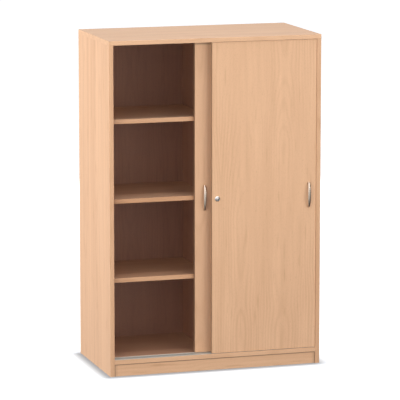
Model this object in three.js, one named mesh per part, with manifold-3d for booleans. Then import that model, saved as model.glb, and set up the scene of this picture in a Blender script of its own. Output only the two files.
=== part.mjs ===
// A tall cupboard with two sliding doors. Millimetres, +Z up, the doors face -Y.
// X runs from the left side to the right side, and the cabinet's middle is x = 0.
// The parts are placed from the carcass's front edge at y = 0, in a group that is moved
// so that the whole thing, with its front handle, is centred on the origin.

import * as THREE from "three";
import { mergeVertices } from "three/addons/utils/BufferGeometryUtils.js";
import Module from "manifold-3d";

const wasm = await Module();
wasm.setup();

// Carcass
const cabinetWidth = 944;
const cabinetDepth = 500;
const cabinetHeight = 1440;
const boardThickness = 19;
const edgeRadius = 1;
const plinthHeight = 52;
const plinthSetback = 4;
const rearPlinthInset = 15;
const backThickness = 8;
const backInset = 30;
const backGrooveDepth = 6;
const seamGap = 0.25;
const fitGap = 0.3;
const overrun = 5;

// Shelves and their pins
const shelvesPerColumn = 3;
const shelfBehindDoor = 4;
const pinRadius = 2.5;
const pinShaftLength = 7.5;
const pinHoleDepth = 8;
const pinCollarRadius = 4.5;
const pinCollarThickness = 0.8;
const pinPegLength = 8;
const pinRowInset = 37;
const holePitch = 32;

// Doors, as shown: the front one is shut to the right, and the rear one is slid open until
// only a strip of it shows beside the front one
const doorThickness = 19;
const doorSetback = 3;
const doorPlaneGap = 23;
const doorOverlap = 34;
const doorStopGap = 0.5;
const doorFloorGap = 1.6;
const doorTopGap = 1.2;
const rearDoorShows = 63.5;

// Tracks
const trackMargin = 8.5;
const trackRebate = 3.2;
const trackBaseThickness = 1.6;
const beadRadius = 1.8;
const guideRebate = 9;
const guideWebThickness = 1.5;
const guideWallThickness = 1.5;
const guideSlotWidth = 6;
const guideLipRecess = 0.3;

// Rollers and the carriages that hold them in the door's lower edge
const rollerRunRadius = 10;
const rollerFlangeHeight = 1.2;
const rollerWidth = 6.4;
const rollerGrooveFloorWidth = 2;
const rollerGrooveMouthWidth = 4.4;
const rollerHubWidth = 1.2;
const rollerHubRadius = 4.4;
const axleRadius = 2.5;
const carriageLength = 46;
const carriageHeight = 30;
const carriageThickness = 12.4;
const carriageCornerRadius = 8;
const rollerSideGap = 0.5;
const rollerTipGap = 1.2;
const carriageInset = 60;

// Guides in the door's upper edge
const guideBodyLength = 30;
const guideBodyHeight = 22;
const guideBodyThickness = 11.4;
const guideCornerRadius = 3;
const guideBladeLength = 20;
const guideBladeThickness = 5;
const guideBladeRise = 7.5;

// Bow handles
const handleHoleSpacing = 96;
const handleTipBeyondHole = 9;
const handleFootInsideHole = 4.5;
const handleStandOut = 20;
const handleMidWidth = 12.5;
const handleEndWidth = 7.5;
const handleBowThickness = 4.5;
const archFullnessShare = 0.6;
const handleHeight = 747;
const frontHandleInset = 35;
const rearHandleInset = 41;
const screwRadius = 2;
const screwHeadRadius = 4;
const screwHeadHeight = 2.4;
const screwReach = 6;

// Push lock in the front door and its keeper on the rear door
const lockInset = 24;
const lockHeight = 747;
const lockFlangeRadius = 11;
const lockFlangeThickness = 1.5;
const lockFlangeChamfer = 0.5;
const lockBarrelRadius = 9;
const lockBoreRadius = 7;
const lockRearWall = 3;
const plungerRadius = 6.6;
const plungerStandOut = 13;
const plungerEdge = 0.8;
const lockTravel = 12;
const boltRadius = 4;
const boltChamfer = 1;
const plugRadius = 4.4;
const plugLength = 9;
const plugRecess = 0.4;
const keySlotWidth = 1.4;
const keySlotHeight = 6;
const keySlotDepth = 6;
const keeperHeight = 26;
const keeperWidth = 20;
const keeperStandOut = 18;
const keeperSlotWidth = 9.2;
const keeperSlotDepth = 10;
const keeperCornerRadius = 2;

// Facets
const edgeSteps = 2;
const cornerSteps = 4;
const pinSides = 10;
const screwSides = 12;
const rollerSides = 24;
const lockSides = 24;
const bowSteps = 24;
const bowSides = 12;

// Places that follow from the sizes above
const innerWidth = cabinetWidth - 2 * boardThickness;
const innerLeft = -innerWidth / 2;
const innerRight = innerWidth / 2;
const floorTop = plinthHeight + boardThickness;
const topUnderside = cabinetHeight - boardThickness;
const clearHeight = topUnderside - floorTop;
const backFace = cabinetDepth - backInset - backThickness;
const doorWidth = (innerWidth + doorOverlap) / 2;
const doorBottom = floorTop + doorFloorGap;
const doorHeight = topUnderside - doorTopGap - doorBottom;
const frontDoorFace = doorSetback;
const rearDoorFace = doorSetback + doorThickness + doorPlaneGap;
const frontDoorLeft = innerRight - doorStopGap - doorWidth;
const rearDoorShutLeft = innerLeft + doorStopGap;
const rearDoorLeft = frontDoorLeft - rearDoorShows;
const rearDoorSlidOpen = rearDoorLeft - rearDoorShutLeft;
const shelfFront = rearDoorFace + doorThickness + shelfBehindDoor;
const shelfDepth = backFace - shelfFront;
const compartmentHeight = (clearHeight - shelvesPerColumn * boardThickness) / (shelvesPerColumn + 1);
const shelfPitch = compartmentHeight + boardThickness;
const columnWidth = (innerWidth - boardThickness) / 2;
const looseShelfGap = seamGap + pinCollarThickness + fitGap;
const trackLines = [frontDoorFace + doorThickness / 2, rearDoorFace + doorThickness / 2];
const trackFront = trackLines[0] - trackMargin;
const trackWidth = trackLines[1] + trackMargin - trackFront;
const trackUnderside = floorTop - trackRebate + seamGap;
const trackSurface = trackUnderside + trackBaseThickness;
const axleHeight = trackSurface + beadRadius + fitGap + rollerRunRadius;
const rollerOuterRadius = rollerRunRadius + rollerFlangeHeight;
const bowOuterHalf = handleHoleSpacing / 2 + handleTipBeyondHole;
const bowInnerHalf = handleHoleSpacing / 2 - handleFootInsideHole;
const bowOuterRise = handleStandOut - seamGap;
const bowInnerRise = bowOuterRise - handleBowThickness;
const lockX = frontDoorLeft + lockInset;

const beechColour = 0xe6c19a;
const backColour = 0xd9b48c;

function beech(colour = beechColour) {
  return new THREE.MeshStandardMaterial({ color: colour, roughness: 0.55, metalness: 0 });
}

function aluminium() {
  return new THREE.MeshStandardMaterial({ color: 0xb9bcc0, roughness: 0.35, metalness: 1 });
}

function satinNickel() {
  return new THREE.MeshStandardMaterial({ color: 0xc9c7c2, roughness: 0.28, metalness: 1 });
}

function steel() {
  return new THREE.MeshStandardMaterial({ color: 0xa8abaf, roughness: 0.4, metalness: 1 });
}

function plastic(colour) {
  return new THREE.MeshStandardMaterial({ color: colour, roughness: 0.5, metalness: 0 });
}

const greyPlastic = 0x8d8f91;
const whitePlastic = 0xe8e8e4;

function mesh(name, geometry, material, x = 0, y = 0, z = 0) {
  const piece = new THREE.Mesh(geometry, material);
  piece.name = name;
  piece.position.set(x, y, z);
  return piece;
}

// Turns a closed geometry into a solid that can be cut and joined.
function solidOf(geometry) {
  const bare = geometry.clone();
  bare.deleteAttribute("normal");
  bare.deleteAttribute("uv");
  const merged = mergeVertices(bare);
  return new wasm.Manifold(new wasm.Mesh({
    numProp: 3,
    vertProperties: new Float32Array(merged.attributes.position.array),
    triVerts: new Uint32Array(merged.index.array),
  }));
}

function geometryOf(solid) {
  const { vertProperties, triVerts } = solid.getMesh();
  const geometry = new THREE.BufferGeometry();
  geometry.setAttribute("position", new THREE.BufferAttribute(new Float32Array(vertProperties), 3));
  geometry.setIndex(new THREE.BufferAttribute(new Uint32Array(triVerts), 1));
  geometry.computeVertexNormals();
  return geometry;
}

function cut(geometry, tools) {
  let solid = solidOf(geometry);
  for (const tool of tools) solid = solid.subtract(solidOf(tool));
  return geometryOf(solid);
}

function join(geometries) {
  let solid = solidOf(geometries[0]);
  for (const other of geometries.slice(1)) solid = solid.add(solidOf(other));
  return geometryOf(solid);
}

function boxBetween(low, high) {
  const size = high.map((value, axis) => value - low[axis]);
  const box = new THREE.BoxGeometry(...size);
  return box.translate(...low.map((value, axis) => value + size[axis] / 2));
}

// A round bar along Y from y = start to y = end, about the line through x and z.
function barAlongY(radius, start, end, sides, x = 0, z = 0) {
  const bar = new THREE.CylinderGeometry(radius, radius, end - start, sides);
  return bar.translate(x, (start + end) / 2, z);
}

// A round bar along X, from x = start to x = end.
function barAlongX(radius, start, end, sides, y, z) {
  const bar = new THREE.CylinderGeometry(radius, radius, end - start, sides);
  return bar.rotateZ(-Math.PI / 2).translate((start + end) / 2, y, z);
}

// A turned piece about Y. Points are [radius, y] pairs, upwards on the outside.
function turned(points, sides) {
  return new THREE.LatheGeometry(points.map(([radius, y]) => new THREE.Vector2(radius, y)), sides);
}

// A rectangle from (0, 0) with its corners rounded: radii in the order
// lower left, lower right, upper right, upper left.
function roundedRectangle(width, height, radii) {
  const [lowerLeft, lowerRight, upperRight, upperLeft] = radii;
  const outline = new THREE.Shape();
  outline.moveTo(lowerLeft, 0);
  outline.lineTo(width - lowerRight, 0);
  if (lowerRight) outline.absarc(width - lowerRight, lowerRight, lowerRight, -Math.PI / 2, 0, false);
  outline.lineTo(width, height - upperRight);
  const upperCentre = [width - upperRight, height - upperRight];
  if (upperRight) outline.absarc(...upperCentre, upperRight, 0, Math.PI / 2, false);
  outline.lineTo(upperLeft, height);
  if (upperLeft) outline.absarc(upperLeft, height - upperLeft, upperLeft, Math.PI / 2, Math.PI, false);
  outline.lineTo(0, lowerLeft);
  if (lowerLeft) outline.absarc(lowerLeft, lowerLeft, lowerLeft, Math.PI, 1.5 * Math.PI, false);
  return outline;
}

function extrude(outline, length, steps) {
  return new THREE.ExtrudeGeometry(outline, { depth: length, bevelEnabled: false, curveSegments: steps });
}

// Turns an extrusion so that its outline lies in the Y-Z plane and it runs along X.
function alongX(geometry) {
  const turn = new THREE.Matrix4().makeBasis(
    new THREE.Vector3(0, 1, 0), new THREE.Vector3(0, 0, 1), new THREE.Vector3(1, 0, 0));
  return geometry.applyMatrix4(turn);
}

// Turns an extrusion so that its outline lies in the X-Z plane and it runs from y = 0 to +Y.
function alongY(geometry, length) {
  return geometry.rotateX(Math.PI / 2).translate(0, length, 0);
}

// A board that lies flat: it runs along X from x = 0, with its banded front edge at y = 0.
function lyingBoard(length, depth) {
  const outline = roundedRectangle(depth, boardThickness, [edgeRadius, 0, 0, edgeRadius]);
  return alongX(extrude(outline, length, edgeSteps));
}

// A board that stands: left face at x = 0, banded front edge at y = 0, foot at z = 0.
function standingBoard(height, depth) {
  const outline = roundedRectangle(boardThickness, depth, [edgeRadius, edgeRadius, 0, 0]);
  return extrude(outline, height, edgeSteps);
}

function isLoose(shelf) {
  return shelf % 2 === 0;
}

function shelfUnderside(shelf) {
  return floorTop + (shelf + 1) * shelfPitch - boardThickness;
}

function pinRows() {
  return [shelfFront + pinRowInset, backFace - pinRowInset];
}

// Blind holes for the shelf pins in one face: three steps for each loose shelf.
// face is the x of the face, inward is +1 where the wood lies towards +X.
function pinHoles(face, inward) {
  const holes = [];
  for (let shelf = 0; shelf < shelvesPerColumn; shelf += 1) {
    if (!isLoose(shelf)) continue;
    for (const row of pinRows()) {
      for (const step of [-1, 0, 1]) {
        const height = shelfUnderside(shelf) - seamGap - pinRadius + step * holePitch;
        const ends = [face - inward * overrun, face + inward * pinHoleDepth].sort((a, b) => a - b);
        holes.push(barAlongX(pinRadius + fitGap, ends[0], ends[1], pinSides, row, height));
      }
    }
  }
  return holes;
}

function sidePanels() {
  const height = topUnderside - seamGap;
  const places = [["side_left", -cabinetWidth / 2, 1], ["side_right", innerRight, -1]];
  return places.map(([name, left, towardsMiddle]) => {
    const innerFace = towardsMiddle > 0 ? left + boardThickness : left;
    const grooveEnds = [innerFace - towardsMiddle * backGrooveDepth, innerFace + towardsMiddle * overrun];
    grooveEnds.sort((a, b) => a - b);
    const board = standingBoard(height, cabinetDepth).translate(left, 0, 0);
    const groove = boxBetween(
      [grooveEnds[0], backFace - fitGap, -overrun],
      [grooveEnds[1], backFace + backThickness + fitGap, cabinetHeight]);
    return mesh(name, cut(board, [groove, ...pinHoles(innerFace, -towardsMiddle)]), beech());
  });
}

// The groove in the top or the floor panel that takes the back panel's edge.
function backGroove(bottom, top) {
  return boxBetween(
    [innerLeft - backGrooveDepth, backFace - fitGap, bottom],
    [innerRight + backGrooveDepth, backFace + backThickness + fitGap, top]);
}

function topPanel() {
  const board = lyingBoard(cabinetWidth, cabinetDepth).translate(-cabinetWidth / 2, 0, topUnderside);
  const rebate = boxBetween(
    [innerLeft, trackFront - fitGap, topUnderside - overrun],
    [innerRight, trackFront + trackWidth + fitGap, topUnderside + guideRebate]);
  const groove = backGroove(topUnderside - overrun, topUnderside + backGrooveDepth);
  return mesh("top_panel", cut(board, [rebate, groove]), beech());
}

function floorPanel() {
  const length = innerWidth - 2 * seamGap;
  const board = lyingBoard(length, cabinetDepth).translate(innerLeft + seamGap, 0, plinthHeight);
  const rebate = boxBetween(
    [innerLeft - overrun, trackFront - fitGap, floorTop - trackRebate],
    [innerRight + overrun, trackFront + trackWidth + fitGap, floorTop + overrun]);
  const groove = backGroove(floorTop - backGrooveDepth, floorTop + overrun);
  return mesh("floor_panel", cut(board, [rebate, groove]), beech());
}

function plinths() {
  const board = boxBetween(
    [innerLeft + seamGap, 0, 0],
    [innerRight - seamGap, boardThickness, plinthHeight - seamGap]);
  const rearPlace = cabinetDepth - rearPlinthInset - boardThickness;
  return [
    mesh("plinth_front", board, beech(), 0, plinthSetback, 0),
    mesh("plinth_rear", board.clone(), beech(), 0, rearPlace, 0),
  ];
}

function backPanel() {
  const reach = backGrooveDepth - fitGap;
  const panel = boxBetween(
    [innerLeft - reach, backFace, floorTop - reach],
    [innerRight + reach, backFace + backThickness, topUnderside + reach]);
  return mesh("back_panel", panel, beech(backColour));
}

function partition() {
  const foot = floorTop + seamGap;
  const board = standingBoard(topUnderside - seamGap - foot, shelfDepth - seamGap);
  board.translate(-boardThickness / 2, shelfFront, foot);
  const holes = [...pinHoles(-boardThickness / 2, 1), ...pinHoles(boardThickness / 2, -1)];
  return mesh("partition", cut(board, holes), beech());
}

// Both columns: the middle shelf is fixed, the others rest on four pins each.
function shelvesAndPins() {
  const pieces = [];
  const columns = [["left", innerLeft], ["right", boardThickness / 2]];
  for (const [column, columnLeft] of columns) {
    for (let shelf = 0; shelf < shelvesPerColumn; shelf += 1) {
      const sideGap = isLoose(shelf) ? looseShelfGap : seamGap;
      const board = lyingBoard(columnWidth - 2 * sideGap, shelfDepth - sideGap);
      const label = `${column}_${shelf + 1}`;
      const underside = shelfUnderside(shelf);
      pieces.push(mesh(`shelf_${label}`, board, beech(), columnLeft + sideGap, shelfFront, underside));
      if (isLoose(shelf)) pieces.push(...pinsUnder(label, columnLeft, underside));
    }
  }
  return pieces;
}

// One pin lies along X: its shaft sits in the board's hole, its collar lies on the board,
// and its peg carries the shelf. The turned profile starts at the shaft's end.
function pinGeometry() {
  const collarStart = pinShaftLength + seamGap;
  const pegStart = collarStart + pinCollarThickness;
  return turned([
    [0, 0],
    [pinRadius, 0],
    [pinRadius, collarStart],
    [pinCollarRadius, collarStart],
    [pinCollarRadius, pegStart],
    [pinRadius, pegStart],
    [pinRadius, pegStart + pinPegLength],
    [0, pegStart + pinPegLength],
  ], pinSides);
}

function pinsUnder(label, columnLeft, underside) {
  const pins = [];
  const height = underside - seamGap - pinRadius;
  pinRows().forEach((row, index) => {
    const place = index === 0 ? "front" : "rear";
    const leftPin = mesh(`shelf_pin_${label}_${place}_a`, pinGeometry(), steel());
    leftPin.rotation.z = -Math.PI / 2;
    leftPin.position.set(columnLeft - pinShaftLength, row, height);
    const rightPin = mesh(`shelf_pin_${label}_${place}_b`, pinGeometry(), steel());
    rightPin.rotation.z = Math.PI / 2;
    rightPin.position.set(columnLeft + columnWidth + pinShaftLength, row, height);
    pins.push(leftPin, rightPin);
  });
  return pins;
}

// The lower track: a flat aluminium strip with one round bead for each door.
function bottomTrack() {
  const outline = new THREE.Shape();
  outline.moveTo(0, 0);
  outline.lineTo(trackWidth, 0);
  outline.lineTo(trackWidth, trackBaseThickness);
  for (const line of [...trackLines].reverse()) {
    const centre = line - trackFront;
    outline.lineTo(centre + beadRadius, trackBaseThickness);
    outline.absarc(centre, trackBaseThickness, beadRadius, 0, Math.PI, false);
  }
  outline.lineTo(0, trackBaseThickness);
  const length = innerWidth - 2 * seamGap;
  const track = alongX(extrude(outline, length, cornerSteps));
  return mesh("bottom_track", track, aluminium(), innerLeft + seamGap, trackFront, trackUnderside);
}

// The upper track: a web let into the top panel, with two walls on each side of each slot.
function topGuideTrack() {
  const height = guideRebate - seamGap - guideLipRecess;
  const webBottom = height - guideWebThickness;
  const slotHalf = guideSlotWidth / 2;
  const wallHalf = slotHalf + guideWallThickness;
  const outline = new THREE.Shape();
  outline.moveTo(0, height);
  outline.lineTo(0, webBottom);
  for (const line of trackLines) {
    const centre = line - trackFront;
    outline.lineTo(centre - wallHalf, webBottom);
    outline.lineTo(centre - wallHalf, 0);
    outline.lineTo(centre - slotHalf, 0);
    outline.lineTo(centre - slotHalf, webBottom);
    outline.lineTo(centre + slotHalf, webBottom);
    outline.lineTo(centre + slotHalf, 0);
    outline.lineTo(centre + wallHalf, 0);
    outline.lineTo(centre + wallHalf, webBottom);
  }
  outline.lineTo(trackWidth, webBottom);
  outline.lineTo(trackWidth, height);
  const length = innerWidth - 2 * seamGap;
  const track = alongX(extrude(outline, length, cornerSteps));
  return mesh("top_guide_track", track, aluminium(), innerLeft + seamGap, trackFront,
    topUnderside + guideLipRecess);
}

// Everything on a door is placed from the door's lower left front corner.
function doorFittingPlaces() {
  return [["left", carriageInset], ["right", doorWidth - carriageInset]];
}

function handleHoleHeights() {
  const centre = handleHeight - doorBottom;
  return [centre - handleHoleSpacing / 2, centre + handleHoleSpacing / 2];
}

// The panel with its pockets for carriages and guides, and its counterbored handle holes.
function doorPanel(handleX, extraCuts) {
  const corner = edgeRadius;
  const outline = roundedRectangle(doorWidth, doorThickness, [corner, corner, corner, corner]);
  const board = extrude(outline, doorHeight, edgeSteps);
  const middle = doorThickness / 2;
  const cuts = [...extraCuts];
  for (const [, x] of doorFittingPlaces()) {
    const carriageHalf = carriageLength / 2 + fitGap;
    const carriageSide = carriageThickness / 2 + fitGap;
    cuts.push(boxBetween(
      [x - carriageHalf, middle - carriageSide, -overrun],
      [x + carriageHalf, middle + carriageSide, carriageHeight + fitGap]));
    const guideHalf = guideBodyLength / 2 + fitGap;
    const guideSide = guideBodyThickness / 2 + fitGap;
    cuts.push(boxBetween(
      [x - guideHalf, middle - guideSide, doorHeight - guideBodyHeight - fitGap],
      [x + guideHalf, middle + guideSide, doorHeight + overrun]));
  }
  for (const z of handleHoleHeights()) {
    cuts.push(barAlongY(screwRadius + fitGap, -overrun, doorThickness + overrun, screwSides, handleX, z));
    const boreFloor = doorThickness - screwHeadHeight - seamGap;
    const boreEnd = doorThickness + overrun;
    cuts.push(barAlongY(screwHeadRadius + fitGap, boreFloor, boreEnd, screwSides, handleX, z));
  }
  return cut(board, cuts);
}

// The carriage: an arched block with a slot for the roller and an axle across the slot.
// Its foot is at z = 0 and its middle plane at y = 0.
function carriageGeometry() {
  const corner = carriageCornerRadius;
  const outline = roundedRectangle(carriageLength, carriageHeight, [0, 0, corner, corner]);
  const block = alongY(extrude(outline, carriageThickness, cornerSteps), carriageThickness);
  block.translate(-carriageLength / 2, -carriageThickness / 2, 0);
  const slotHalf = rollerWidth / 2 + rollerSideGap;
  const slotReach = rollerOuterRadius + rollerTipGap;
  const axleZ = axleHeight - doorBottom;
  const slot = boxBetween([-slotReach, -slotHalf, -overrun], [slotReach, slotHalf, axleZ + slotReach]);
  const axle = barAlongY(axleRadius, -carriageThickness / 2, carriageThickness / 2, pinSides, 0, axleZ);
  return join([cut(block, [slot]), axle]);
}

// The roller: a flanged wheel with a groove that runs on the bead, and a hub at each side.
function rollerGeometry() {
  const bore = axleRadius + fitGap;
  const half = rollerWidth / 2;
  const rim = half - rollerHubWidth / 2;
  const mouth = rollerGrooveMouthWidth / 2;
  const floor = rollerGrooveFloorWidth / 2;
  return turned([
    [bore, -half],
    [rollerHubRadius, -half],
    [rollerHubRadius, -rim],
    [rollerOuterRadius, -rim],
    [rollerOuterRadius, -mouth],
    [rollerRunRadius, -floor],
    [rollerRunRadius, floor],
    [rollerOuterRadius, mouth],
    [rollerOuterRadius, rim],
    [rollerHubRadius, rim],
    [rollerHubRadius, half],
    [bore, half],
    [bore, -half],
  ], rollerSides);
}

// The upper guide: a block in the door's edge and a blade that runs in the track's slot.
function guideGeometry() {
  const corner = guideCornerRadius;
  const outline = roundedRectangle(guideBodyLength, guideBodyHeight, [corner, corner, 0, 0]);
  const block = alongY(extrude(outline, guideBodyThickness, cornerSteps), guideBodyThickness);
  block.translate(-guideBodyLength / 2, -guideBodyThickness / 2, 0);
  const end = guideBladeThickness / 2;
  const bladeOutline = roundedRectangle(guideBladeLength, guideBladeThickness, [end, end, end, end]);
  const root = guideBodyHeight / 2;
  const blade = extrude(bladeOutline, guideBodyHeight - root + guideBladeRise, cornerSteps);
  blade.translate(-guideBladeLength / 2, -guideBladeThickness / 2, root);
  return join([block, blade]);
}

// One of the bow's two arches at a turn from 0 to half a circle, as [place along the handle, rise
// over its feet]. The share under 1 keeps the arch flat in the middle and steep at the feet.
function archPoint(half, rise, turn) {
  return [-half * Math.cos(turn), rise * Math.sin(turn) ** archFullnessShare];
}

// The bow: rings of an oval, each spanned between the inner and the outer arch at one turn, so
// that the bar grows narrow and deep as it runs down into its feet. The ends are flat, at y = 0.
function bowGeometry() {
  const positions = [];
  for (let step = 0; step <= bowSteps; step += 1) {
    const turn = (Math.PI * step) / bowSteps;
    const [outerAlong, outerRise] = archPoint(bowOuterHalf, bowOuterRise, turn);
    const [innerAlong, innerRise] = archPoint(bowInnerHalf, bowInnerRise, turn);
    const width = handleEndWidth + (handleMidWidth - handleEndWidth) * Math.sin(turn) ** 2;
    for (let side = 0; side < bowSides; side += 1) {
      const angle = (2 * Math.PI * side) / bowSides;
      const outerPart = (1 + Math.sin(angle)) / 2;
      positions.push(
        (Math.cos(angle) * width) / 2,
        -innerRise - (outerRise - innerRise) * outerPart,
        innerAlong + (outerAlong - innerAlong) * outerPart);
    }
  }
  const ringStart = (step) => step * bowSides;
  const faces = [];
  for (let step = 0; step < bowSteps; step += 1) {
    for (let side = 0; side < bowSides; side += 1) {
      const next = (side + 1) % bowSides;
      const [a, b] = [ringStart(step) + side, ringStart(step) + next];
      const [c, d] = [ringStart(step + 1) + side, ringStart(step + 1) + next];
      faces.push(a, c, b, b, c, d);
    }
  }
  for (let side = 1; side < bowSides - 1; side += 1) {
    faces.push(0, side, side + 1);
    const last = ringStart(bowSteps);
    faces.push(last, last + side + 1, last + side);
  }
  const geometry = new THREE.BufferGeometry();
  geometry.setAttribute("position", new THREE.Float32BufferAttribute(positions, 3));
  geometry.setIndex(faces);
  return geometry;
}

// The handle stands in front of the door face at y = 0, centred on z = 0. Each foot is bored
// for its screw.
function handleGeometry() {
  const bow = bowGeometry().translate(0, -seamGap, 0);
  const bores = [-1, 1].map((end) => barAlongY(
    screwRadius + fitGap, -screwReach - fitGap, overrun, screwSides, 0, (end * handleHoleSpacing) / 2));
  return cut(bow, bores);
}

// A screw along Y: its head ends flush with the door's back, its tip sits in the handle's foot.
function handleScrewGeometry() {
  const headFace = doorThickness - seamGap;
  const headSeat = headFace - screwHeadHeight + seamGap;
  return turned([
    [0, -screwReach],
    [screwRadius, -screwReach],
    [screwRadius, headSeat],
    [screwHeadRadius, headSeat],
    [screwHeadRadius, headFace],
    [0, headFace],
  ], screwSides);
}

// Handle, screws, carriages, rollers and guides of one door.
function doorFittings(name, left, face, handleX) {
  const pieces = [];
  const middle = face + doorThickness / 2;
  pieces.push(mesh(`${name}_handle`, handleGeometry(), satinNickel(), left + handleX, face, handleHeight));
  handleHoleHeights().forEach((z, index) => {
    const place = index === 0 ? "lower" : "upper";
    pieces.push(mesh(`${name}_handle_screw_${place}`, handleScrewGeometry(), steel(),
      left + handleX, face, doorBottom + z));
  });
  for (const [place, x] of doorFittingPlaces()) {
    pieces.push(mesh(`${name}_carriage_${place}`, carriageGeometry(), plastic(greyPlastic),
      left + x, middle, doorBottom));
    pieces.push(mesh(`${name}_roller_${place}`, rollerGeometry(), plastic(whitePlastic),
      left + x, middle, axleHeight));
    pieces.push(mesh(`${name}_guide_${place}`, guideGeometry(), plastic(greyPlastic),
      left + x, middle, doorBottom + doorHeight - guideBodyHeight));
  }
  return pieces;
}

function rearDoor() {
  const panel = doorPanel(rearHandleInset, []);
  return [
    mesh("rear_door_panel", panel, beech(), rearDoorLeft, rearDoorFace, doorBottom),
    ...doorFittings("rear_door", rearDoorLeft, rearDoorFace, rearHandleInset),
    lockKeeper(),
  ];
}

function frontDoor() {
  const handleX = doorWidth - frontHandleInset;
  const lockHole = barAlongY(lockBarrelRadius + fitGap, -overrun, doorThickness + overrun, lockSides,
    lockInset, lockHeight - doorBottom);
  const panel = doorPanel(handleX, [lockHole]);
  return [
    mesh("front_door_panel", panel, beech(), frontDoorLeft, frontDoorFace, doorBottom),
    ...doorFittings("front_door", frontDoorLeft, frontDoorFace, handleX),
    ...pushLock(),
  ];
}

// The lock is placed from the door's front face at y = 0; its axis runs along Y.
function pushLock() {
  const place = [lockX, frontDoorFace, lockHeight];
  return [
    mesh("lock_housing", lockHousingGeometry(), satinNickel(), ...place),
    mesh("lock_plunger", lockPlungerGeometry(), satinNickel(), ...place),
    mesh("lock_plug", lockPlugGeometry(), steel(), ...place),
  ];
}

// A flanged barrel, bored from the front, with a rear wall that the bolt passes through.
function lockHousingGeometry() {
  const flangeFace = -lockFlangeThickness - seamGap;
  return turned([
    [lockBoreRadius, flangeFace],
    [lockFlangeRadius - lockFlangeChamfer, flangeFace],
    [lockFlangeRadius, flangeFace + lockFlangeChamfer],
    [lockFlangeRadius, -seamGap],
    [lockBarrelRadius, -seamGap],
    [lockBarrelRadius, doorThickness - seamGap],
    [boltRadius + fitGap, doorThickness - seamGap],
    [boltRadius + fitGap, doorThickness - lockRearWall],
    [lockBoreRadius, doorThickness - lockRearWall],
    [lockBoreRadius, flangeFace],
  ], lockSides);
}

// The part of the plunger that the finger presses, and the bolt behind it.
function lockPlungerGeometry() {
  const shoulder = doorThickness - lockRearWall - lockTravel - fitGap;
  const boltTip = doorThickness - seamGap;
  const sleeve = turned([
    [0, -plungerStandOut],
    [plungerRadius - plungerEdge, -plungerStandOut],
    [plungerRadius, -plungerStandOut + plungerEdge],
    [plungerRadius, shoulder],
    [boltRadius, shoulder],
    [boltRadius, boltTip - boltChamfer],
    [boltRadius - boltChamfer, boltTip],
    [0, boltTip],
  ], lockSides);
  const plugBore = barAlongY(plugRadius + fitGap, -plungerStandOut - overrun,
    -plungerStandOut + plugRecess + plugLength + fitGap, lockSides);
  return cut(sleeve, [plugBore]);
}

function lockPlugGeometry() {
  const face = -plungerStandOut + plugRecess;
  const plug = barAlongY(plugRadius, face, face + plugLength, lockSides);
  const keySlot = boxBetween(
    [-keySlotWidth / 2, face - overrun, -keySlotHeight / 2],
    [keySlotWidth / 2, face + keySlotDepth, keySlotHeight / 2]);
  return cut(plug, [keySlot]);
}

// A fork on the rear door's face. Its slot takes the bolt when both doors are shut.
function lockKeeper() {
  const corner = keeperCornerRadius;
  const outline = roundedRectangle(keeperWidth, keeperStandOut, [corner, corner, 0, 0]);
  const block = extrude(outline, keeperHeight, cornerSteps);
  const middle = keeperWidth / 2;
  const slot = boxBetween(
    [middle - keeperSlotWidth / 2, -overrun, -overrun],
    [middle + keeperSlotWidth / 2, keeperSlotDepth, keeperHeight + overrun]);
  return mesh("lock_keeper", cut(block, [slot]), plastic(greyPlastic),
    lockX + rearDoorSlidOpen - middle, rearDoorFace - seamGap - keeperStandOut,
    lockHeight - keeperHeight / 2);
}

const cabinet = new THREE.Group();
cabinet.name = "sliding_door_cabinet";
cabinet.add(
  ...sidePanels(),
  topPanel(),
  floorPanel(),
  ...plinths(),
  backPanel(),
  partition(),
  ...shelvesAndPins(),
  bottomTrack(),
  topGuideTrack(),
  ...rearDoor(),
  ...frontDoor(),
);
const frontReach = handleStandOut - frontDoorFace;
cabinet.position.y = -(cabinetDepth - frontReach) / 2;

export default cabinet;
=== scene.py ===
import math

import bpy
import numpy as np
from mathutils import Euler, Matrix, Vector


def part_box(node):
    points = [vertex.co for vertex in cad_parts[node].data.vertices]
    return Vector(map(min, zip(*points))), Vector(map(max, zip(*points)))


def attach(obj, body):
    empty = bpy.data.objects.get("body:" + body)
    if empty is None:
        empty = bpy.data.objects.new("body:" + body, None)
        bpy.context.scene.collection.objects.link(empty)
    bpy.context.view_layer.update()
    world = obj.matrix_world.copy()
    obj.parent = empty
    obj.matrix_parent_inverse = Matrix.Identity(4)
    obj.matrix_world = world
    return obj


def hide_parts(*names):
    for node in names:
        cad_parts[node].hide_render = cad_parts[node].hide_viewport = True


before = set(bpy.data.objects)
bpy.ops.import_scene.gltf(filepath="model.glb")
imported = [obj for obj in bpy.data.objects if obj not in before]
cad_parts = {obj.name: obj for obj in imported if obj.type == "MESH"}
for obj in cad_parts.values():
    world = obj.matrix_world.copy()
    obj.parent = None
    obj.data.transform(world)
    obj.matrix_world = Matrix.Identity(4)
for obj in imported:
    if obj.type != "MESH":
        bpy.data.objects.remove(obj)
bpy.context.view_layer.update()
scene = bpy.context.scene
mm = 0.001


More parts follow.
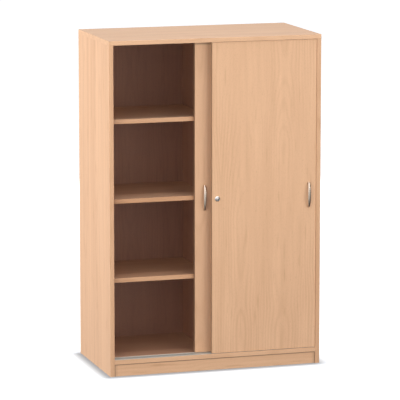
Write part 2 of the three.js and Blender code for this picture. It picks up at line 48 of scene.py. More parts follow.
class Field:
    # one output socket of a node tree; arithmetic on it adds Math nodes

    def __init__(self, tree, socket):
        self.tree = tree
        self.socket = socket

    def math(self, operation, *values):
        return self.tree.node("ShaderNodeMath", {"operation": operation}, [self, *values])

    def __add__(self, other):
        return self.math("ADD", other)

    def __radd__(self, other):
        return self.math("ADD", other)

    def __sub__(self, other):
        return self.math("SUBTRACT", other)

    def __rsub__(self, other):
        return self.tree.node("ShaderNodeMath", {"operation": "SUBTRACT"}, [other, self])

    def __mul__(self, other):
        return self.math("MULTIPLY", other)

    def __rmul__(self, other):
        return self.math("MULTIPLY", other)

    def __truediv__(self, other):
        return self.math("DIVIDE", other)

    def __abs__(self):
        return self.math("ABSOLUTE")

    def centred(self):
        # noise lies between 0 and 1, and after this it swings about 0
        return self - 0.5

    def clamped(self, low=0.0, high=1.0):
        return self.tree.node("ShaderNodeClamp", {}, [self, low, high])

    def ramp(self, low, high):
        # rises smoothly from 0 at low to 1 at high
        settings = {"interpolation_type": "SMOOTHSTEP"}
        return self.tree.node("ShaderNodeMapRange", settings, [self, low, high, 0.0, 1.0])


class Tree:
    # a node tree that is filled from empty

    def __init__(self, nodeTree):
        self.nodeTree = nodeTree
        self.nodeTree.nodes.clear()

    def make(self, kind, settings, sockets):
        made = self.nodeTree.nodes.new(kind)
        for key, value in settings.items():
            setattr(made, key, value)
        pairs = sockets.items() if isinstance(sockets, dict) else enumerate(sockets)
        for key, value in pairs:
            target = made.inputs[key]
            if isinstance(value, Field):
                self.nodeTree.links.new(value.socket, target)
            else:
                target.default_value = value
        return made

    def node(self, kind, settings, sockets, output=0):
        return Field(self, self.make(kind, settings, sockets).outputs[output])

    def close(self, kind, surface):
        self.make(kind, {}, {"Surface": surface})


class Finish(Tree):
    # one procedural material, built from nodes; place is a point's x, y and z in metres

    def __init__(self, name):
        self.material = bpy.data.materials.new(name)
        self.material.use_nodes = True
        super().__init__(self.material.node_tree)
        point = self.node("ShaderNodeTexCoord", {}, {}, "Object")
        self.place = [self.node("ShaderNodeSeparateXYZ", {}, [point], axis) for axis in range(3)]
        self.x, self.y, self.z = self.place

    def noise(self, place, cells, detail=2.0, roughness=0.5):
        # cells says how many of the noise's cells fill a metre along each axis of the place
        parts = [part * count for part, count in zip(place, cells)]
        vector = self.node("ShaderNodeCombineXYZ", {}, parts)
        sockets = {"Vector": vector, "Scale": 1.0, "Detail": detail, "Roughness": roughness}
        return self.node("ShaderNodeTexNoise", {}, sockets)

    def mix(self, factor, first, second, withinBoth=True):
        # a colour between the two, or past them where it isn't held within both; a Mix node has
        # its colours at inputs 6 and 7 and at output 2
        settings = {"data_type": "RGBA", "clamp_factor": withinBoth}
        return self.node("ShaderNodeMix", settings, {0: factor, 6: first, 7: second}, 2)

    def bump(self, height, strength, distance):
        sockets = {"Height": height, "Strength": strength, "Distance": distance}
        return self.node("ShaderNodeBump", {}, sockets)

    def finished(self, **sockets):
        names = {key.replace("_", " "): value for key, value in sockets.items()}
        self.close("ShaderNodeOutputMaterial", self.node("ShaderNodeBsdfPrincipled", {}, names))
        return self.material


def rgb(red, green, blue):
    return (red, green, blue, 1.0)


# Camera, placed and turned as the photograph was taken; tilt and turn in degrees
view = {
    "place": (-3.6635, -11.8748, 2.7838),
    "tilt": 90 - 9.4981,
    "turn": -17.1546,
    "lens": 260.37,
    "sensor": 36.0,
}


def makeCamera():
    data = bpy.data.cameras.new("camera")
    data.lens = view["lens"]
    data.sensor_width = view["sensor"]
    camera = bpy.data.objects.new("camera", data)
    scene.collection.objects.link(camera)
    camera.location = view["place"]
    camera.rotation_euler = Euler((math.radians(view["tilt"]), 0, math.radians(view["turn"])))
    scene.camera = camera


makeCamera()
print("camera")


# Soft boxes; azimuth is from the front towards the right, elevation from level, both in degrees;
# a box that skips names leaves those boards to the other lights, and one that isn't mirrored
# leaves the reflections to the world's soft tones
softBoxes = {
    "leftBox": {"azimuth": -106, "elevation": 10, "distance": 4.0, "size": (2.4, 2.0), "power": 121,
                "colour": (1.0, 0.99, 0.97), "mirrored": False},
    "fillBox": {"azimuth": -38, "elevation": 7, "distance": 4.0, "size": (2.4, 1.2), "power": 75,
                "colour": (1.0, 0.97, 0.89), "skips": ("back_panel", "partition"), "mirrored": False},
    "frontBox": {"azimuth": 26, "elevation": 8, "distance": 4.0, "size": (3.4, 1.4), "power": 74,
                 "colour": (1.0, 0.97, 0.89), "skips": ("back_panel", "partition"), "mirrored": False},
    "topBox": {"azimuth": 0, "elevation": 82, "distance": 4.0, "size": (2.6, 2.0), "power": 94,
               "colour": (1.0, 1.03, 1.07)},
    "rightBox": {"azimuth": 98, "elevation": 3, "distance": 4.0, "size": (2.0, 1.2), "power": 75,
                 "colour": (1.0, 0.99, 0.97), "mirrored": False},
    "backBox": {"azimuth": 170, "elevation": 3, "distance": 5.0, "size": (2.4, 1.2), "power": 140,
                "colour": (1.0, 1.0, 1.0), "mirrored": False},
}
aim = (0.0, 0.0, 0.75)  # what every box looks at


def makeSoftBox(name, azimuth, elevation, distance, size, power, colour, skips=(), mirrored=True):
    # a rectangle of light that looks at the cabinet's middle from afar
    data = bpy.data.lights.new(name, "AREA")
    data.shape = "RECTANGLE"
    data.size, data.size_y = size
    data.energy = power
    data.color = colour
    light = bpy.data.objects.new(name, data)
    scene.collection.objects.link(light)
    turn = math.radians(azimuth)
    rise = math.radians(elevation)
    away = Vector((math.sin(turn) * math.cos(rise), -math.cos(turn) * math.cos(rise), math.sin(rise)))
    light.location = Vector(aim) + away * distance
    light.rotation_euler = away.to_track_quat("Z", "Y").to_euler()
    light.visible_glossy = mirrored
    if skips:
        skipped = bpy.data.collections.new(name + "Skips")
        for node in skips:
            skipped.objects.link(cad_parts[node])
        light.light_linking.receiver_collection = skipped
        for entry in skipped.collection_objects:
            entry.light_linking.link_state = "EXCLUDE"


for boxName, boxSettings in softBoxes.items():
    makeSoftBox(boxName, **boxSettings)
print("soft boxes", len(softBoxes))


# World; a direction's right, back and up run from -1 to 1, and a spread holds where a change
# begins and where it is whole
room = {
    "ambient": 0.18,
    "ambientColour": rgb(0.93, 1.02, 1.42),
    "mirrored": 0.76,
    "mirroredColour": rgb(1.0, 0.93, 0.86),
    "mirroredRight": 0.10,
    "rightLean": 0.35,
    "rightSpread": (0.34, 0.64),
    "mirroredBelow": 0.17,
    "belowSpread": (0.10, 0.60),
    "strip": 2.6,
    "stripLean": 0.65,
    "stripHalf": 0.13,
    "stripCoreShare": 0.4,
    "stripFootSpread": (-0.10, 0.05),
    "stripHeadSpread": (0.55, 0.85),
    "stripFrontSpread": (0.0, 0.2),
    "lamp": 0.8,
    "lampTowards": (-0.25, -0.79, 0.56),
    "lampSpread": (0.70, 0.95),
    "lampCore": 0.9,
    "lampCoreSpread": (0.955, 0.985),
}


def mirroredTone(right, back, up):
    # what the metals reflect: pale in front, with one bright upright strip and a soft lamp high on
    # the left in it, and darker to the right and below
    pale = room["mirrored"]
    aside = (right - up * room["rightLean"]).ramp(*room["rightSpread"])
    below = (-1 * up).ramp(*room["belowSpread"])
    tone = pale - aside * (pale - room["mirroredRight"])
    tone = tone * (1 - below * (1 - room["mirroredBelow"]))
    half = room["stripHalf"]
    offset = abs(right + back * room["stripLean"])
    across = 1 - offset.ramp(half * room["stripCoreShare"], half)
    tall = up.ramp(*room["stripFootSpread"]) * (1 - up.ramp(*room["stripHeadSpread"]))
    front = (-1 * back).ramp(*room["stripFrontSpread"])
    tone = tone + across * tall * front * room["strip"]
    parts = [part * share for part, share in zip((right, back, up), room["lampTowards"])]
    lampward = parts[0] + parts[1] + parts[2]
    tone = tone + lampward.ramp(*room["lampSpread"]) * room["lamp"]
    return tone + lampward.ramp(*room["lampCoreSpread"]) * room["lampCore"]


def makeWorld():
    # white where the camera looks past the floor, a low cool grey for the light that it gives,
    # and the painted tone in what the metals reflect
    world = bpy.data.worlds.new("studio")
    scene.world = world
    world.use_nodes = True
    tree = Tree(world.node_tree)
    rays = tree.make("ShaderNodeLightPath", {}, {}).outputs
    glossyRay = Field(tree, rays["Is Glossy Ray"])
    cameraRay = Field(tree, rays["Is Camera Ray"])
    towards = tree.node("ShaderNodeTexCoord", {}, {}, "Generated")
    right, back, up = [tree.node("ShaderNodeSeparateXYZ", {}, [towards], axis) for axis in range(3)]
    tone = mirroredTone(right, back, up)
    given = tree.node("ShaderNodeBackground", {}, [room["ambientColour"], room["ambient"]])
    reflected = tree.node("ShaderNodeBackground", {}, [room["mirroredColour"], tone])
    seen = tree.node("ShaderNodeBackground", {}, [rgb(1, 1, 1), 1.0])
    light = tree.node("ShaderNodeMixShader", {}, [glossyRay, given, reflected])
    light = tree.node("ShaderNodeMixShader", {}, [cameraRay, light, seen])
    tree.close("ShaderNodeOutputWorld", light)


makeWorld()
print("world")


# Floor; the glow at the cabinet's foot is low, which paints a shade there, and grows to the whole
# floor's over the width of that painted shade
floorLook = {
    "size": 40.0,
    "colour": rgb(0.28, 0.30, 0.32),
    "roughness": 0.9,
    "glow": 1.0,
    "footGlow": 0.15,
    "shadeWidth": 0.068,
    "rightStart": 0.021,
    "rightRate": 0.60,
    "rearStart": 0.024,
}


def makeFloor():
    # the floor glows white, but only faintly in a narrow band about the cabinet's foot, which paints a
    # shade there, and the lamps' own shade shows in it as well: the glow rises with the distance
    # outside the footprint, which has a start at the right and the rear, where the painted shade is
    # fainter, and a lower rate at the right; the floor's dark blue grey colour is what the lamps light
    # in that band
    half = floorLook["size"] / 2
    corners = [(-half, -half, 0), (half, -half, 0), (half, half, 0), (-half, half, 0)]
    mesh = bpy.data.meshes.new("floor")
    mesh.from_pydata(corners, [], [(0, 1, 2, 3)])
    floor = bpy.data.objects.new("floor", mesh)
    scene.collection.objects.link(floor)
    pale = Finish("paleFloor")
    low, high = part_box("side_left")
    left = low.x - pale.x
    right = (pale.x + low.x) * floorLook["rightRate"] + floorLook["rightStart"]
    front = low.y - pale.y
    rear = pale.y - high.y + floorLook["rearStart"]
    sides = left.math("MAXIMUM", right).math("MAXIMUM", 0.0)
    ends = rear.math("MAXIMUM", front).math("MAXIMUM", 0.0)
    outside = (sides * sides + ends * ends).math("SQRT")
    rise = floorLook["glow"] - floorLook["footGlow"]
    glow = outside.ramp(0.0, floorLook["shadeWidth"]) * rise + floorLook["footGlow"]
    glowColour = pale.node("ShaderNodeCombineColor", {}, [glow, glow, glow])
    mesh.materials.append(pale.finished(
        Base_Color=floorLook["colour"], Roughness=floorLook["roughness"],
        Specular_IOR_Level=0.0, Emission_Color=glowColour, Emission_Strength=1.0))
    floor.visible_diffuse = False
    floor.visible_glossy = False


makeFloor()
scene.view_settings.view_transform = "Standard"
scene.view_settings.look = "None"
scene.cycles.diffuse_bounces = 2  # enough for the inside of the open column
print("floor")


# Beech boards; a noise has its cells per metre across, into and along the grain, and places and
# widths are in metres
beech = {
    "light": rgb(0.794, 0.493, 0.295),
    "dark": rgb(0.640, 0.369, 0.207),
    "fleck": rgb(0.400, 0.215, 0.115),
    # the glue lines' colour, which also paints the shade lines
    "seam": rgb(0.330, 0.200, 0.120),
    # the grey that tints the boards inside the cabinet as in shade
    "cool": rgb(0.52, 0.42, 0.50),
    "baseTone": 0.33,  # 0 is the light colour, 1 the dark one
    "toneRange": (-0.8, 2.0),  # how far a tone may run past them
    "slow": {"cells": (5.0, 5.0, 1.1), "detail": 1.0},
    "wander": 0.030,  # the width within which the grain strays
    "leafWidth": 0.094,  # one leaf of veneer, which the next one mirrors
    "swing": {"cells": (2.0, 2.0, 1.7)},
    "pithDepth": 0.045,  # from the leaf's face to the pith
    "pithSwing": 0.110,  # the width within which the pith swings
    "ringPitch": 0.0105,
    "figureMiddle": 0.4,  # about the rings' mean, which leaves the tone as it is
    "figureSpread": (0.35, 0.65),
    "figureShare": 0.34,
    "streaks": {"cells": (95, 95, 2.2), "detail": 4.0, "roughness": 0.55},
    "streakShare": 0.70,
    "broad": {"cells": (24, 24, 1.4)},
    "broadShare": 1.00,
    "marks": {"cells": (75, 75, 7), "detail": 1.0},
    "markSpread": (0.62, 0.80),
    "markShare": 0.55,
    "fibres": {"cells": (1300, 1300, 28), "roughness": 0.6},
    "fibreShare": 0.26,
    "rays": {"cells": (900, 900, 150), "detail": 0.0},
    "raySpread": (0.66, 0.78),
    "rayShare": 0.28,
    "bandThickness": 1.0 * mm,
    "seamWidth": 0.14 * mm,  # half of the glue line's
    "seamShare": 0.6,
    "seamCoreShare": 0.4,  # the part of a line's half width that has its full strength
    # painted shade on the door's left edge face and in the gap beside it
    "doorEdge": (0.5 * mm, 0.60),  # half width and strength, as in the next three
    # painted shade on the rear door's top, under the top panel
    "doorShade": (17 * mm, 0.90),
    # painted shade in the joint over the set back plinth and in its corners beside the sides
    "plinthJoint": (5.6 * mm, 1.0),
    "plinthCorner": (17 * mm, 0.25),
    "roughness": 0.44,
    "smudge": {"cells": (7, 7, 7)},
    "smudgeRoughness": 0.10,
    "fibreRoughness": 0.08,
    "fibreRise": 0.6,
    "rayDip": 0.4,
    "bumpStrength": 0.25,
    "bumpDepth": 0.05 * mm,
}

# axes are along the grain, across it in the board's face, and into the board; shift moves the
# figure along and across; a higher tone is a darker board; inside is added to the tone behind the
# front edge band; cool is a share of grey; streaky is the streaks' strength, and drawn is how many
# times longer than usual they are. On the boards in the cabinet these are painted light and shade:
# the cool grey tints them as in shade, the floor panel is painted darker behind its front edge, the
# partition and back panel lighter, and each left shelf has its own painted shade on its front edge
# and on its top
boards = {
    "side_left": {"axes": "zyx", "shift": (0.31, 0.02), "tone": 0.67, "inside": -0.47,
                  "streaky": 1.7, "drawn": 2.6},
    "side_right": {"axes": "zyx", "shift": (2.75, 0.07), "tone": 0.40, "inside": -0.38},
    "top_panel": {"axes": "xyz", "shift": (1.30, 0.05), "tone": -0.02},
    "floor_panel": {"axes": "xyz", "shift": (4.10, 0.03), "tone": 0.20, "inside": 1.45, "cool": 0.12},
    "plinth_front": {"axes": "xzy", "shift": (5.20, 0.01), "tone": 0.05},
    "plinth_rear": {"axes": "xzy", "shift": (6.70, 0.04), "tone": 0.05},
    "back_panel": {"axes": "zxy", "shift": (7.90, 0.06), "tone": 0.05, "inside": -0.25, "cool": 0.22},
    "partition": {"axes": "zyx", "shift": (9.15, 0.03), "tone": -1.05, "cool": 0.25},
    "shelf_left_1": {"axes": "xyz", "shift": (10.4, 0.02), "tone": 0.66, "inside": 0.56, "cool": 0.08},
    "shelf_left_2": {"axes": "xyz", "shift": (11.9, 0.05), "tone": 1.14, "inside": -0.62, "cool": 0.08},
    "shelf_left_3": {"axes": "xyz", "shift": (13.2, 0.08), "tone": 0.80, "inside": -0.98, "cool": 0.08},
    "shelf_right_1": {"axes": "xyz", "shift": (14.6, 0.01), "tone": 0.00, "cool": 0.08},
    "shelf_right_2": {"axes": "xyz", "shift": (15.7, 0.04), "tone": 0.02, "cool": 0.08},
    "shelf_right_3": {"axes": "xyz", "shift": (17.1, 0.07), "tone": 0.01, "cool": 0.08},
    "rear_door_panel": {"axes": "zxy", "shift": (18.3, 0.06), "tone": 0.20, "cool": 0.03,
                        "streaky": 0.45},
    "front_door_panel": {"axes": "zxy", "shift": (19.8, 0.0695), "tone": 0.00, "streaky": 0.90,
                         "drawn": 0.6},
}


def seamAndShadeLines(name):
    # dark lines as (axis, place, half width, strength): the glue line behind each edge band, and
    # painted
    # shade: a door's darker left edge, the shade on the rear door under the top panel, and the shaded
    # joint and corners round the set back plinth
    low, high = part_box(name)
    band = beech["bandThickness"]
    glue = (beech["seamWidth"], beech["seamShare"])
    sides = [("x", low.x + band), ("x", high.x - band)]
    front = ("y", low.y + band, *glue)
    if name.endswith("door_panel"):
        places = sides + [("z", low.z + band), ("z", high.z - band)]
        lines = [(*place, *glue) for place in places] + [("x", low.x, *beech["doorEdge"])]
        if name == "rear_door_panel":
            lines.append(("z", high.z, *beech["doorShade"]))
        return lines
    if name == "top_panel":
        places = sides + [("y", high.y - band)]
        return [front] + [(*place, *glue) for place in places]
    # painted shade round the set back plinth
    if name == "plinth_front":
        ends = [("x", low.x), ("x", high.x)]
        corners = [(*end, *beech["plinthCorner"]) for end in ends]
        return corners + [(*joint, *beech["plinthJoint"]) for joint in [("z", high.z)] + ends]
    if name in ("plinth_rear", "back_panel"):
        return []
    return [front]


def insideMask(finish, name):
    # 1 behind the front edge band, and on the floor and back panels only inside the cupboard
    band = beech["bandThickness"]
    edge = (0.0, beech["seamWidth"])
    behindBand = (finish.y - (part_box(name)[0].y + band)).ramp(*edge)
    if name not in ("floor_panel", "back_panel"):
        return behindBand
    beforeBack = 1 - (finish.y - (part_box("back_panel")[0].y + band)).ramp(*edge)
    return beforeBack if name == "back_panel" else beforeBack * behindBand


def beechFinish(name, axes, shift, tone, inside=0.0, cool=0.0, streaky=1.0, drawn=1.0):
    finish = Finish("beech_" + name)
    along, across, through = [getattr(finish, axis) for axis in axes]
    along = along + shift[0]
    across = across + shift[1]
    grain = (across, through, along)
    drawnGrain = (across, through, along / drawn)
    # slow wander of the grain
    slow = finish.noise(grain, **beech["slow"])
    wander = slow.centred() * beech["wander"]
    # growth rings: distance from a pith that runs almost along the board, mirrored leaf by leaf,
    # which gives tall arches with straight grain between them
    mirrored = (across + wander).math("PINGPONG", beech["leafWidth"])
    swing = finish.noise(grain, **beech["swing"])
    depth = swing.centred() * beech["pithSwing"] + beech["pithDepth"]
    ring = (mirrored * mirrored + depth * depth).math("SQRT") / beech["ringPitch"]
    figure = ((ring * (2 * math.pi)).math("SINE") + 1) / 2
    figure = figure * figure - beech["figureMiddle"]
    figureAmount = slow.ramp(*beech["figureSpread"]) * beech["figureShare"]
    # streaks are noise drawn out along the grain
    streaks = finish.noise(drawnGrain, **beech["streaks"])
    broad = finish.noise(drawnGrain, **beech["broad"])
    streakTone = streaks.centred() * beech["streakShare"] + broad.centred() * beech["broadShare"]
    # a few darker strokes, a few millimetres wide and a hand long, weaker where the streaks are
    # weaker than usual
    marks = finish.noise(grain, **beech["marks"]).ramp(*beech["markSpread"])
    markAmount = beech["markShare"] * min(streaky, 1.0)
    # fibres, and small dark rays under a millimetre wide and a few millimetres long
    fibres = finish.noise(grain, **beech["fibres"])
    rays = finish.noise(grain, **beech["rays"]).ramp(*beech["raySpread"])
    shade = streakTone * streaky + figure * figureAmount + marks * markAmount
    shade = shade + fibres.centred() * beech["fibreShare"] + (beech["baseTone"] + tone)
    # inside adds painted shade and light behind the front edge band, and holds cool to there
    if inside:
        within = insideMask(finish, name)
        shade = shade + within * inside
        cool = within * cool
    shade = shade.clamped(*beech["toneRange"])
    colour = finish.mix(shade, beech["light"], beech["dark"], withinBoth=False)
    colour = finish.mix(rays * beech["rayShare"], colour, beech["fleck"])
    if cool:
        colour = finish.mix(cool, colour, beech["cool"])
    # glue lines, and painted shade at a door's left edge, under the top panel and round the plinth
    for axis, place, width, share in seamAndShadeLines(name):
        offset = abs(getattr(finish, axis) - place)
        line = 1 - offset.ramp(width * beech["seamCoreShare"], width)
        colour = finish.mix(line * share, colour, beech["seam"])
    smudge = finish.noise(finish.place, **beech["smudge"])
    roughness = smudge.centred() * beech["smudgeRoughness"] + beech["roughness"]
    roughness = roughness + fibres.centred() * beech["fibreRoughness"]
    height = fibres * beech["fibreRise"] - rays * beech["rayDip"]
    bump = finish.bump(height, beech["bumpStrength"], beech["bumpDepth"])
    return finish.finished(Base_Color=colour, Roughness=roughness, Normal=bump)


def dress(name, material):
    # a CAD node keeps its mesh: the material goes into the object's own slot
    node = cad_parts[name]
    if not node.material_slots:
        node.data.materials.append(None)
    for slot in node.material_slots:
        slot.link = "OBJECT"
        slot.material = material


for boardName, boardSettings in boards.items():
    dress(boardName, beechFinish(boardName, **boardSettings))
print("beech boards", len(boards))


# Metals and plastics; brush and grain are the cells per metre of their fine noise
metals = {
    "satinNickel": {"colour": rgb(0.79, 0.71, 0.635), "roughness": 0.24, "brush": (900, 900, 30)},
    "brightNickel": {"colour": rgb(0.84, 0.87, 0.91), "roughness": 0.16, "brush": (300, 300, 300)},
    "steel": {"colour": rgb(0.56, 0.57, 0.58), "roughness": 0.36, "brush": (400, 400, 400)},
    "aluminium": {"colour": rgb(0.545, 0.52, 0.465), "roughness": 0.62, "brush": (12, 1500, 1500),
                  "metallic": 0.25},
}

plastics = {
    "greyPlastic": {"colour": rgb(0.26, 0.265, 0.27), "roughness": 0.48, "grain": (2200, 2200, 2200)},
    "whitePlastic": {"colour": rgb(0.78, 0.78, 0.75), "roughness": 0.38, "grain": (1500, 1500, 1500)},
}

# each noise moves the colour between the plain and the darker one, about the middle, by its shade,
# and the roughness by its roughness
metalWear = {
    "brush": {"detail": 3.0, "roughness": 0.6},
    "cloud": {"cells": (45, 45, 45)},
    "darker": 0.86,
    "middle": 0.4,
    "brushShade": 0.9,
    "cloudShade": 0.6,
    "brushRoughness": 0.16,
    "cloudRoughness": 0.10,
    "bumpStrength": 0.12,
    "bumpDepth": 0.02 * mm,
}

plasticWear = {
    "grain": {"detail": 1.0},
    "cloud": {"cells": (60, 60, 60)},
    "darker": 0.88,
    "middle": 0.4,
    "cloudShade": 1.2,
    "grainRoughness": 0.12,
    "bumpStrength": 0.15,
    "bumpDepth": 0.03 * mm,
}


def darkerColour(colour, share):
    return rgb(*[value * share for value in colour[:3]])


def metalFinish(name, colour, roughness, brush, metallic=1.0):
    finish = Finish(name)
    lines = finish.noise(finish.place, brush, **metalWear["brush"])
    cloud = finish.noise(finish.place, **metalWear["cloud"])
    worn = lines.centred() * metalWear["brushShade"] + cloud.centred() * metalWear["cloudShade"]
    worn = (worn + metalWear["middle"]).clamped()
    shade = finish.mix(worn, colour, darkerColour(colour, metalWear["darker"]))
    rough = lines.centred() * metalWear["brushRoughness"] + roughness
    rough = rough + cloud.centred() * metalWear["cloudRoughness"]
    bump = finish.bump(lines, metalWear["bumpStrength"], metalWear["bumpDepth"])
    return finish.finished(Base_Color=shade, Metallic=metallic, Roughness=rough, Normal=bump)


def plasticFinish(name, colour, roughness, grain):
    finish = Finish(name)
    pits = finish.noise(finish.place, grain, **plasticWear["grain"])
    cloud = finish.noise(finish.place, **plasticWear["cloud"])
    worn = (cloud.centred() * plasticWear["cloudShade"] + plasticWear["middle"]).clamped()
    shade = finish.mix(worn, colour, darkerColour(colour, plasticWear["darker"]))
    rough = pits.centred() * plasticWear["grainRoughness"] + roughness
    bump = finish.bump(pits, plasticWear["bumpStrength"], plasticWear["bumpDepth"])
    return finish.finished(Base_Color=shade, Roughness=rough, Normal=bump)


finishes = {name: metalFinish(name, **settings) for name, settings in metals.items()}
finishes.update({name: plasticFinish(name, **settings) for name, settings in plastics.items()})

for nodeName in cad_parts:
    if "_door_carriage_" in nodeName or "_door_guide_" in nodeName or nodeName == "lock_keeper":
        dress(nodeName, finishes["greyPlastic"])
dress("top_guide_track", finishes["aluminium"])
print("metals and plastics", len(finishes))


# Smooth pieces
poleShare = 0.02  # a solid's ends close on a small ring, this share of the radius there
quarterRoundShare = 0.3  # the middle of a quarter round lies this share of its radius inside the corner


def gridFaces(rows, columns, wrapRows):
    # quads between neighbouring rings of a grid whose columns close on themselves
    lastRow = rows if wrapRows else rows - 1
    row, column = np.meshgrid(np.arange(lastRow), np.arange(columns), indexing="ij")
    here = row * columns
    after = (row + 1) % rows * columns
    beside = (column + 1) % columns
    corners = [here + column, here + beside, after + beside, after + column]
    return np.stack(corners, axis=-1).reshape(-1, 4)


def fanFaces(ring, centre, forward):
    # triangles from one ring of points to its middle
    beside = np.roll(ring, -1)
    middle = np.full_like(ring, centre)
    order = [ring, beside, middle] if forward else [beside, ring, middle]
    return np.stack(order, axis=-1)


def signedVolume(mesh, points):
    # six times the volume under the faces, positive where they point outwards
    mesh.calc_loop_triangles()
    corners = np.empty(len(mesh.loop_triangles) * 3, np.int32)
    mesh.loop_triangles.foreach_get("vertices", corners)
    a, b, c = [points[corners[place::3]] for place in range(3)]
    return float(np.einsum("ij,ij->i", a, np.cross(b, c)).sum())


def makePiece(name, grid, material, body, node, sharp=35, wrapRows=False):
    # one smooth piece from a closed grid of points, rows x columns x 3: each row is a ring, and
    # the rows either close on each other too or end in fans of triangles; sharp is the angle, in
    # degrees, past which an edge stays crisp
    rows, columns = grid.shape[:2]
    points = grid.reshape(-1, 3)
    faces = gridFaces(rows, columns, wrapRows).tolist()
    if not wrapRows:
        count = len(points)
        firstRing = np.arange(columns)
        lastRing = firstRing + count - columns
        points = np.concatenate([points, [grid[0].mean(axis=0), grid[-1].mean(axis=0)]])
        faces += fanFaces(firstRing, count, False).tolist()
        faces += fanFaces(lastRing, count + 1, True).tolist()
    mesh = bpy.data.meshes.new(name)
    mesh.from_pydata(points.tolist(), [], faces)
    mesh.validate()
    if signedVolume(mesh, points) < 0:
        mesh.flip_normals()
    mesh.shade_smooth()
    mesh.set_sharp_from_angle(angle=math.radians(sharp))
    mesh.materials.append(material)
    piece = bpy.data.objects.new(name, mesh)
    scene.collection.objects.link(piece)
    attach(piece, body)
    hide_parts(node)


def roundedProfile(corners, steps=5):
    # a profile through (radius, place, corner radius) points, each corner an arc tangent to its
    # sides: its middle lies on the corner's bisector, and the arc's points lie a corner radius
    # from it, in the directions of even steps along the chord
    profile = []
    count = len(corners)
    for index, (radius, place, corner) in enumerate(corners):
        here = np.array([radius, place])
        if corner == 0 or index in (0, count - 1):
            profile.append(here[None])
            continue
        before = np.array(corners[index - 1][:2]) - here
        after = np.array(corners[index + 1][:2]) - here
        before = before / np.linalg.norm(before)
        after = after / np.linalg.norm(after)
        half = math.acos(float(np.clip(before @ after, -1, 1))) / 2
        reach = corner / math.tan(half)
        middle = here + (before + after) / np.linalg.norm(before + after) * corner / math.sin(half)
        share = np.linspace(0, 1, steps)[:, None]
        chord = here + before * reach + (after - before) * reach * share
        ray = chord - middle
        profile.append(middle + ray / np.linalg.norm(ray, axis=1)[:, None] * corner)
    return np.concatenate(profile)


def unitCircle(sides, turned=0.0):
    # (cos, sin) of even steps round a circle, the first one turned from the first axis
    angle = np.linspace(0, 2 * math.pi, sides, endpoint=False) + turned
    return np.stack([np.cos(angle), np.sin(angle)], axis=-1)


def turnedGrid(profile, sides, centre, axis):
    # each (radius, place) of a profile becomes a ring about the axis through centre: radius times
    # the unit circle beside the axis, and place along it
    ring = profile[:, 0][:, None, None] * unitCircle(sides)
    place = np.broadcast_to(profile[:, 1][:, None], ring.shape[:2])
    if axis == "y":
        grid = np.stack([ring[:, :, 0], place, ring[:, :, 1]], axis=-1)
    else:
        grid = np.stack([place, ring[:, :, 0], ring[:, :, 1]], axis=-1)
    return grid + np.array(centre)


def stackedGrid(rings, centre):
    # rings of (x, z) points about the centre, each at its own place along Y
    grid = np.empty((len(rings), len(rings[0][0]), 3))
    for row, (ring, place) in zip(grid, rings):
        row[:, 0] = centre.x + ring[:, 0]
        row[:, 1] = place
        row[:, 2] = centre.z + ring[:, 1]
    return grid


def edgeRings(circle, radius, edge, face, inwards):
    # the rounded edge of a disc's face, as three rings: on the face, at the middle of a quarter
    # round, and on the disc's side
    middle = edge * quarterRoundShare
    return [
        (circle * (radius - edge), face),
        (circle * (radius - middle), face + inwards * middle),
        (circle * radius, face + inwards * edge),
    ]


# Bow handles
handle = {
    "thickness": 4.5 * mm,
    "footLength": 13.5 * mm,
    "endWidth": 7.5 * mm,
    "archPower": 0.6,
    "sectionPower": 0.92,
    "gather": 0.8,  # 0 is even steps, 1 the closest at the feet
    "steps": 120,
    "sides": 48,
    "sharp": 50,
}


def bowHandle(node, door):
    # Two arches stand on the door in the Y-Z plane, each z = -half cos(t), rise sin(t)^p. At each t
    # a flattened oval spans from the inner arch to the outer one. Its width grows from the feet to
    # the middle with sin(t)^2, so the bar is wide and thin in the middle, narrow and deep at the
    # feet. t runs from 0 to pi, and its steps gather at the feet.
    low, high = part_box(node)
    centre = (low + high) / 2
    outerHalf = (high.z - low.z) / 2
    outerRise = high.y - low.y
    innerHalf = outerHalf - handle["footLength"]
    innerRise = outerRise - handle["thickness"]
    share = np.linspace(0, 1, handle["steps"])
    turn = math.pi * (share - np.sin(2 * math.pi * share) / (2 * math.pi) * handle["gather"])
    full = np.abs(np.sin(turn)) ** handle["archPower"]
    full[[0, -1]] = 0
    outer = np.stack([-outerHalf * np.cos(turn), outerRise * full], axis=-1)
    inner = np.stack([-innerHalf * np.cos(turn), innerRise * full], axis=-1)
    width = handle["endWidth"] + (high.x - low.x - handle["endWidth"]) * np.sin(turn) ** 2
    circle = unitCircle(handle["sides"])
    oval = np.sign(circle) * np.abs(circle) ** handle["sectionPower"]
    middle = (outer + inner)[:, None, :] / 2
    spread = (outer - inner)[:, None, :] / 2
    line = middle + spread * oval[None, :, 1:]
    grid = np.empty((handle["steps"], handle["sides"], 3))
    grid[:, :, 0] = centre.x + width[:, None] / 2 * oval[:, 0]
    grid[:, :, 1] = high.y - line[:, :, 1]
    grid[:, :, 2] = centre.z + line[:, :, 0]
    makePiece(door + "_bow_handle", grid, finishes["satinNickel"], door, node,
              sharp=handle["sharp"])


for doorName in ("rear_door", "front_door"):
    bowHandle(doorName + "_handle", doorName)
print("bow handles")


